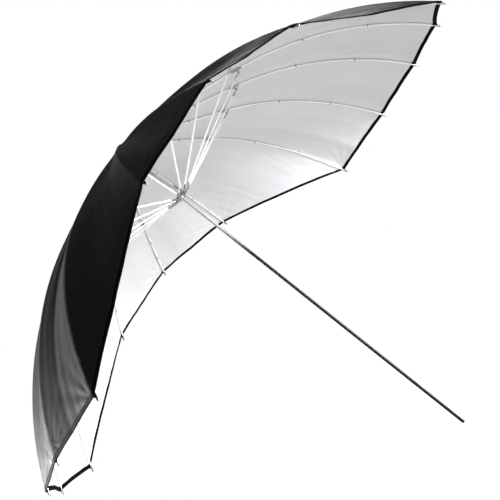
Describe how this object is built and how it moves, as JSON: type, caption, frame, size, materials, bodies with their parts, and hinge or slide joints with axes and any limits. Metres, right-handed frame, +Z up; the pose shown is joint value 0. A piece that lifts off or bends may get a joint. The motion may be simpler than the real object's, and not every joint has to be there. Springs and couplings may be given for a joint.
{
  "type": "umbrella reflector",
  "caption": "Oblong studio umbrella reflector on a slim steel shaft: fibreglass ribs and stretchers, black outside, silver inside, folding by a sliding runner.",
  "frame": {"origin": "centre of the shaft's free end", "axes": "+Z up the shaft towards the canopy, +X along the long side of the canopy"},
  "size_m": [1.531, 1.1872, 1.1144],
  "materials": {
    "rib_rod": "off-white glass-fibre rod with nickel-plated end fittings",
    "stretcher_rod": "off-white glass-fibre rod with nickel-plated end fittings",
    "shaft_steel": "bright plated steel tube",
    "plug": "plated end plug",
    "nickel": "nickel-plated steel",
    "wire": "steel wire",
    "washer": "black felt",
    "spring": "spring steel",
    "canopy_cloth": "black nylon outside, silver coated inside"
  },
  "bodies": {
    "shaft": {"shaft_tube": "shaft_steel", "shaft_end_plug": "plug", "crown_hub": "nickel", "crown_tie_wire": "wire", "crown_pin": "wire", "crown_washer": "washer", "top_cap": "nickel", "catch_pin": "wire", "canopy": "canopy_cloth"},
    "runner": {"runner_body": "nickel", "runner_tie_wire": "wire"},
    "catch": {"catch_spring": "spring"},
    "rib_inner_01": {"rib_inner_01": "rib_rod"},
    "rib_outer_01": {"rib_outer_01": "rib_rod"},
    "stretcher_01": {"stretcher_01": "stretcher_rod"},
    "rib_inner_02": {"rib_inner_02": "rib_rod"},
    "rib_outer_02": {"rib_outer_02": "rib_rod"},
    "stretcher_02": {"stretcher_02": "stretcher_rod"},
    "rib_inner_03": {"rib_inner_03": "rib_rod"},
    "rib_outer_03": {"rib_outer_03": "rib_rod"},
    "stretcher_03": {"stretcher_03": "stretcher_rod"},
    "rib_inner_04": {"rib_inner_04": "rib_rod"},
    "rib_outer_04": {"rib_outer_04": "rib_rod"},
    "stretcher_04": {"stretcher_04": "stretcher_rod"},
    "rib_inner_05": {"rib_inner_05": "rib_rod"},
    "rib_outer_05": {"rib_outer_05": "rib_rod"},
    "stretcher_05": {"stretcher_05": "stretcher_rod"},
    "rib_inner_06": {"rib_inner_06": "rib_rod"},
    "rib_outer_06": {"rib_outer_06": "rib_rod"},
    "stretcher_06": {"stretcher_06": "stretcher_rod"},
    "rib_inner_07": {"rib_inner_07": "rib_rod"},
    "rib_outer_07": {"rib_outer_07": "rib_rod"},
    "stretcher_07": {"stretcher_07": "stretcher_rod"},
    "rib_inner_08": {"rib_inner_08": "rib_rod"},
    "rib_outer_08": {"rib_outer_08": "rib_rod"},
    "stretcher_08": {"stretcher_08": "stretcher_rod"},
    "rib_inner_09": {"rib_inner_09": "rib_rod"},
    "rib_outer_09": {"rib_outer_09": "rib_rod"},
    "stretcher_09": {"stretcher_09": "stretcher_rod"},
    "rib_inner_10": {"rib_inner_10": "rib_rod"},
    "rib_outer_10": {"rib_outer_10": "rib_rod"},
    "stretcher_10": {"stretcher_10": "stretcher_rod"},
    "rib_inner_11": {"rib_inner_11": "rib_rod"},
    "rib_outer_11": {"rib_outer_11": "rib_rod"},
    "stretcher_11": {"stretcher_11": "stretcher_rod"},
    "rib_inner_12": {"rib_inner_12": "rib_rod"},
    "rib_outer_12": {"rib_outer_12": "rib_rod"},
    "stretcher_12": {"stretcher_12": "stretcher_rod"},
    "rib_inner_13": {"rib_inner_13": "rib_rod"},
    "rib_outer_13": {"rib_outer_13": "rib_rod"},
    "stretcher_13": {"stretcher_13": "stretcher_rod"},
    "rib_inner_14": {"rib_inner_14": "rib_rod"},
    "rib_outer_14": {"rib_outer_14": "rib_rod"},
    "stretcher_14": {"stretcher_14": "stretcher_rod"},
    "rib_inner_15": {"rib_inner_15": "rib_rod"},
    "rib_outer_15": {"rib_outer_15": "rib_rod"},
    "stretcher_15": {"stretcher_15": "stretcher_rod"},
    "rib_inner_16": {"rib_inner_16": "rib_rod"},
    "rib_outer_16": {"rib_outer_16": "rib_rod"},
    "stretcher_16": {"stretcher_16": "stretcher_rod"}
  },
  "joints": [
    {"name": "runner_slide", "type": "slide", "parent": "shaft", "child": "runner", "axis": [0, 0, -1], "range_m": [0, 0.49535]},
    {"name": "catch_press", "type": "hinge", "parent": "shaft", "child": "catch", "pos_m": [0, 0, 0.8356], "axis": [1, 0, 0], "range_deg": [0, 2.4], "stiffness_Nm_per_rad": 2},
    {"name": "rib_fold_01", "type": "hinge", "parent": "shaft", "child": "rib_inner_01", "pos_m": [0.014, 0, 1.101], "axis": [0, 1, 0], "range_deg": [0, 69.03]},
    {"name": "rib_flex_01", "type": "hinge", "parent": "rib_inner_01", "child": "rib_outer_01", "pos_m": [0.3615, 0, 0.997], "axis": [0, -1, 0], "range_deg": [0, 16.48]},
    {"name": "stretcher_fold_01", "type": "hinge", "parent": "rib_inner_01", "child": "stretcher_01", "pos_m": [0.34558, 0, 0.9946], "axis": [0, -1, 0], "range_deg": [0, 140.82]},
    {"name": "rib_fold_02", "type": "hinge", "parent": "shaft", "child": "rib_inner_02", "pos_m": [0.01328, 0.00444, 1.101], "axis": [-0.3173, 0.9483, 0], "range_deg": [0, 69.03]},
    {"name": "rib_flex_02", "type": "hinge", "parent": "rib_inner_02", "child": "rib_outer_02", "pos_m": [0.34282, 0.11471, 0.997], "axis": [0.3173, -0.9483, 0], "range_deg": [0, 16.48]},
    {"name": "stretcher_fold_02", "type": "hinge", "parent": "rib_inner_02", "child": "stretcher_02", "pos_m": [0.32772, 0.10965, 0.9946], "axis": [0.3173, -0.9483, 0], "range_deg": [0, 140.82]},
    {"name": "rib_fold_03", "type": "hinge", "parent": "shaft", "child": "rib_inner_03", "pos_m": [0.01118, 0.00843, 1.101], "axis": [-0.6018, 0.7986, 0], "range_deg": [0, 69.03]},
    {"name": "rib_flex_03", "type": "hinge", "parent": "rib_inner_03", "child": "rib_outer_03", "pos_m": [0.28871, 0.21756, 0.997], "axis": [0.6018, -0.7986, 0], "range_deg": [0, 16.48]},
    {"name": "stretcher_fold_03", "type": "hinge", "parent": "rib_inner_03", "child": "stretcher_03", "pos_m": [0.27599, 0.20797, 0.9946], "axis": [0.6018, -0.7986, 0], "range_deg": [0, 140.82]},
    {"name": "rib_fold_04", "type": "hinge", "parent": "shaft", "child": "rib_inner_04", "pos_m": [0.00569, 0.01279, 1.101], "axis": [-0.9135, 0.4067, 0], "range_deg": [0, 69.03]},
    {"name": "rib_flex_04", "type": "hinge", "parent": "rib_inner_04", "child": "rib_outer_04", "pos_m": [0.14703, 0.33025, 0.997], "axis": [0.9135, -0.4067, 0], "range_deg": [0, 14.34]},
    {"name": "stretcher_fold_04", "type": "hinge", "parent": "rib_inner_04", "child": "stretcher_04", "pos_m": [0.14056, 0.3157, 0.9946], "axis": [0.9135, -0.4067, 0], "range_deg": [0, 140.82]},
    {"name": "rib_fold_05", "type": "hinge", "parent": "shaft", "child": "rib_inner_05", "pos_m": [0, 0.014, 1.101], "axis": [-1, 0, 0], "range_deg": [0, 69.03]},
    {"name": "rib_flex_05", "type": "hinge", "parent": "rib_inner_05", "child": "rib_outer_05", "pos_m": [0, 0.3615, 0.997], "axis": [1, 0, 0], "range_deg": [0, 9.51]},
    {"name": "stretcher_fold_05", "type": "hinge", "parent": "rib_inner_05", "child": "stretcher_05", "pos_m": [0, 0.34558, 0.9946], "axis": [1, 0, 0], "range_deg": [0, 140.82]},
    {"name": "rib_fold_06", "type": "hinge", "parent": "shaft", "child": "rib_inner_06", "pos_m": [-0.00569, 0.01279, 1.101], "axis": [-0.9135, -0.4067, 0], "range_deg": [0, 69.03]},
    {"name": "rib_flex_06", "type": "hinge", "parent": "rib_inner_06", "child": "rib_outer_06", "pos_m": [-0.14703, 0.33025, 0.997], "axis": [0.9135, 0.4067, 0], "range_deg": [0, 14.34]},
    {"name": "stretcher_fold_06", "type": "hinge", "parent": "rib_inner_06", "child": "stretcher_06", "pos_m": [-0.14056, 0.3157, 0.9946], "axis": [0.9135, 0.4067, 0], "range_deg": [0, 140.82]},
    {"name": "rib_fold_07", "type": "hinge", "parent": "shaft", "child": "rib_inner_07", "pos_m": [-0.01118, 0.00843, 1.101], "axis": [-0.6018, -0.7986, 0], "range_deg": [0, 69.03]},
    {"name": "rib_flex_07", "type": "hinge", "parent": "rib_inner_07", "child": "rib_outer_07", "pos_m": [-0.28871, 0.21756, 0.997], "axis": [0.6018, 0.7986, 0], "range_deg": [0, 16.48]},
    {"name": "stretcher_fold_07", "type": "hinge", "parent": "rib_inner_07", "child": "stretcher_07", "pos_m": [-0.27599, 0.20797, 0.9946], "axis": [0.6018, 0.7986, 0], "range_deg": [0, 140.82]},
    {"name": "rib_fold_08", "type": "hinge", "parent": "shaft", "child": "rib_inner_08", "pos_m": [-0.01328, 0.00444, 1.101], "axis": [-0.3173, -0.9483, 0], "range_deg": [0, 69.03]},
    {"name": "rib_flex_08", "type": "hinge", "parent": "rib_inner_08", "child": "rib_outer_08", "pos_m": [-0.34282, 0.11471, 0.997], "axis": [0.3173, 0.9483, 0], "range_deg": [0, 16.48]},
    {"name": "stretcher_fold_08", "type": "hinge", "parent": "rib_inner_08", "child": "stretcher_08", "pos_m": [-0.32772, 0.10965, 0.9946], "axis": [0.3173, 0.9483, 0], "range_deg": [0, 140.82]},
    {"name": "rib_fold_09", "type": "hinge", "parent": "shaft", "child": "rib_inner_09", "pos_m": [-0.014, 0, 1.101], "axis": [0, -1, 0], "range_deg": [0, 69.03]},
    {"name": "rib_flex_09", "type": "hinge", "parent": "rib_inner_09", "child": "rib_outer_09", "pos_m": [-0.3615, 0, 0.997], "axis": [0, 1, 0], "range_deg": [0, 16.48]},
    {"name": "stretcher_fold_09", "type": "hinge", "parent": "rib_inner_09", "child": "stretcher_09", "pos_m": [-0.34558, 0, 0.9946], "axis": [0, 1, 0], "range_deg": [0, 140.82]},
    {"name": "rib_fold_10", "type": "hinge", "parent": "shaft", "child": "rib_inner_10", "pos_m": [-0.01328, -0.00444, 1.101], "axis": [0.3173, -0.9483, 0], "range_deg": [0, 69.03]},
    {"name": "rib_flex_10", "type": "hinge", "parent": "rib_inner_10", "child": "rib_outer_10", "pos_m": [-0.34282, -0.11471, 0.997], "axis": [-0.3173, 0.9483, 0], "range_deg": [0, 16.48]},
    {"name": "stretcher_fold_10", "type": "hinge", "parent": "rib_inner_10", "child": "stretcher_10", "pos_m": [-0.32772, -0.10965, 0.9946], "axis": [-0.3173, 0.9483, 0], "range_deg": [0, 140.82]},
    {"name": "rib_fold_11", "type": "hinge", "parent": "shaft", "child": "rib_inner_11", "pos_m": [-0.01118, -0.00843, 1.101], "axis": [0.6018, -0.7986, 0], "range_deg": [0, 69.03]},
    {"name": "rib_flex_11", "type": "hinge", "parent": "rib_inner_11", "child": "rib_outer_11", "pos_m": [-0.28871, -0.21756, 0.997], "axis": [-0.6018, 0.7986, 0], "range_deg": [0, 16.48]},
    {"name": "stretcher_fold_11", "type": "hinge", "parent": "rib_inner_11", "child": "stretcher_11", "pos_m": [-0.27599, -0.20797, 0.9946], "axis": [-0.6018, 0.7986, 0], "range_deg": [0, 140.82]},
    {"name": "rib_fold_12", "type": "hinge", "parent": "shaft", "child": "rib_inner_12", "pos_m": [-0.00569, -0.01279, 1.101], "axis": [0.9135, -0.4067, 0], "range_deg": [0, 69.03]},
    {"name": "rib_flex_12", "type": "hinge", "parent": "rib_inner_12", "child": "rib_outer_12", "pos_m": [-0.14703, -0.33025, 0.997], "axis": [-0.9135, 0.4067, 0], "range_deg": [0, 14.34]},
    {"name": "stretcher_fold_12", "type": "hinge", "parent": "rib_inner_12", "child": "stretcher_12", "pos_m": [-0.14056, -0.3157, 0.9946], "axis": [-0.9135, 0.4067, 0], "range_deg": [0, 140.82]},
    {"name": "rib_fold_13", "type": "hinge", "parent": "shaft", "child": "rib_inner_13", "pos_m": [0, -0.014, 1.101], "axis": [1, 0, 0], "range_deg": [0, 69.03]},
    {"name": "rib_flex_13", "type": "hinge", "parent": "rib_inner_13", "child": "rib_outer_13", "pos_m": [0, -0.3615, 0.997], "axis": [-1, 0, 0], "range_deg": [0, 9.51]},
    {"name": "stretcher_fold_13", "type": "hinge", "parent": "rib_inner_13", "child": "stretcher_13", "pos_m": [0, -0.34558, 0.9946], "axis": [-1, 0, 0], "range_deg": [0, 140.82]},
    {"name": "rib_fold_14", "type": "hinge", "parent": "shaft", "child": "rib_inner_14", "pos_m": [0.00569, -0.01279, 1.101], "axis": [0.9135, 0.4067, 0], "range_deg": [0, 69.03]},
    {"name": "rib_flex_14", "type": "hinge", "parent": "rib_inner_14", "child": "rib_outer_14", "pos_m": [0.14703, -0.33025, 0.997], "axis": [-0.9135, -0.4067, 0], "range_deg": [0, 14.34]},
    {"name": "stretcher_fold_14", "type": "hinge", "parent": "rib_inner_14", "child": "stretcher_14", "pos_m": [0.14056, -0.3157, 0.9946], "axis": [-0.9135, -0.4067, 0], "range_deg": [0, 140.82]},
    {"name": "rib_fold_15", "type": "hinge", "parent": "shaft", "child": "rib_inner_15", "pos_m": [0.01118, -0.00843, 1.101], "axis": [0.6018, 0.7986, 0], "range_deg": [0, 69.03]},
    {"name": "rib_flex_15", "type": "hinge", "parent": "rib_inner_15", "child": "rib_outer_15", "pos_m": [0.28871, -0.21756, 0.997], "axis": [-0.6018, -0.7986, 0], "range_deg": [0, 16.48]},
    {"name": "stretcher_fold_15", "type": "hinge", "parent": "rib_inner_15", "child": "stretcher_15", "pos_m": [0.27599, -0.20797, 0.9946], "axis": [-0.6018, -0.7986, 0], "range_deg": [0, 140.82]},
    {"name": "rib_fold_16", "type": "hinge", "parent": "shaft", "child": "rib_inner_16", "pos_m": [0.01328, -0.00444, 1.101], "axis": [0.3173, 0.9483, 0], "range_deg": [0, 69.03]},
    {"name": "rib_flex_16", "type": "hinge", "parent": "rib_inner_16", "child": "rib_outer_16", "pos_m": [0.34282, -0.11471, 0.997], "axis": [-0.3173, -0.9483, 0], "range_deg": [0, 16.48]},
    {"name": "stretcher_fold_16", "type": "hinge", "parent": "rib_inner_16", "child": "stretcher_16", "pos_m": [0.32772, -0.10965, 0.9946], "axis": [-0.3173, -0.9483, 0], "range_deg": [0, 140.82]}
  ],
  "couplings": [
    {"joint": "rib_fold_01", "follows": "runner_slide", "rad_per_m": 2.4315},
    {"joint": "rib_flex_01", "follows": "runner_slide", "rad_per_m": 0.58013},
    {"joint": "stretcher_fold_01", "follows": "runner_slide", "rad_per_m": 4.9611},
    {"joint": "rib_fold_02", "follows": "runner_slide", "rad_per_m": 2.4315},
    {"joint": "rib_flex_02", "follows": "runner_slide", "rad_per_m": 0.58013},
    {"joint": "stretcher_fold_02", "follows": "runner_slide", "rad_per_m": 4.9611},
    {"joint": "rib_fold_03", "follows": "runner_slide", "rad_per_m": 2.4315},
    {"joint": "rib_flex_03", "follows": "runner_slide", "rad_per_m": 0.58013},
    {"joint": "stretcher_fold_03", "follows": "runner_slide", "rad_per_m": 4.9611},
    {"joint": "rib_fold_04", "follows": "runner_slide", "rad_per_m": 2.4315},
    {"joint": "rib_flex_04", "follows": "runner_slide", "rad_per_m": 0.50463},
    {"joint": "stretcher_fold_04", "follows": "runner_slide", "rad_per_m": 4.9611},
    {"joint": "rib_fold_05", "follows": "runner_slide", "rad_per_m": 2.4315},
    {"joint": "rib_flex_05", "follows": "runner_slide", "rad_per_m": 0.33433},
    {"joint": "stretcher_fold_05", "follows": "runner_slide", "rad_per_m": 4.9611},
    {"joint": "rib_fold_06", "follows": "runner_slide", "rad_per_m": 2.4315},
    {"joint": "rib_flex_06", "follows": "runner_slide", "rad_per_m": 0.50463},
    {"joint": "stretcher_fold_06", "follows": "runner_slide", "rad_per_m": 4.9611},
    {"joint": "rib_fold_07", "follows": "runner_slide", "rad_per_m": 2.4315},
    {"joint": "rib_flex_07", "follows": "runner_slide", "rad_per_m": 0.58013},
    {"joint": "stretcher_fold_07", "follows": "runner_slide", "rad_per_m": 4.9611},
    {"joint": "rib_fold_08", "follows": "runner_slide", "rad_per_m": 2.4315},
    {"joint": "rib_flex_08", "follows": "runner_slide", "rad_per_m": 0.58013},
    {"joint": "stretcher_fold_08", "follows": "runner_slide", "rad_per_m": 4.9611},
    {"joint": "rib_fold_09", "follows": "runner_slide", "rad_per_m": 2.4315},
    {"joint": "rib_flex_09", "follows": "runner_slide", "rad_per_m": 0.58013},
    {"joint": "stretcher_fold_09", "follows": "runner_slide", "rad_per_m": 4.9611},
    {"joint": "rib_fold_10", "follows": "runner_slide", "rad_per_m": 2.4315},
    {"joint": "rib_flex_10", "follows": "runner_slide", "rad_per_m": 0.58013},
    {"joint": "stretcher_fold_10", "follows": "runner_slide", "rad_per_m": 4.9611},
    {"joint": "rib_fold_11", "follows": "runner_slide", "rad_per_m": 2.4315},
    {"joint": "rib_flex_11", "follows": "runner_slide", "rad_per_m": 0.58013},
    {"joint": "stretcher_fold_11", "follows": "runner_slide", "rad_per_m": 4.9611},
    {"joint": "rib_fold_12", "follows": "runner_slide", "rad_per_m": 2.4315},
    {"joint": "rib_flex_12", "follows": "runner_slide", "rad_per_m": 0.50463},
    {"joint": "stretcher_fold_12", "follows": "runner_slide", "rad_per_m": 4.9611},
    {"joint": "rib_fold_13", "follows": "runner_slide", "rad_per_m": 2.4315},
    {"joint": "rib_flex_13", "follows": "runner_slide", "rad_per_m": 0.33433},
    {"joint": "stretcher_fold_13", "follows": "runner_slide", "rad_per_m": 4.9611},
    {"joint": "rib_fold_14", "follows": "runner_slide", "rad_per_m": 2.4315},
    {"joint": "rib_flex_14", "follows": "runner_slide", "rad_per_m": 0.50463},
    {"joint": "stretcher_fold_14", "follows": "runner_slide", "rad_per_m": 4.9611},
    {"joint": "rib_fold_15", "follows": "runner_slide", "rad_per_m": 2.4315},
    {"joint": "rib_flex_15", "follows": "runner_slide", "rad_per_m": 0.58013},
    {"joint": "stretcher_fold_15", "follows": "runner_slide", "rad_per_m": 4.9611},
    {"joint": "rib_fold_16", "follows": "runner_slide", "rad_per_m": 2.4315},
    {"joint": "rib_flex_16", "follows": "runner_slide", "rad_per_m": 0.58013},
    {"joint": "stretcher_fold_16", "follows": "runner_slide", "rad_per_m": 4.9611}
  ]
}
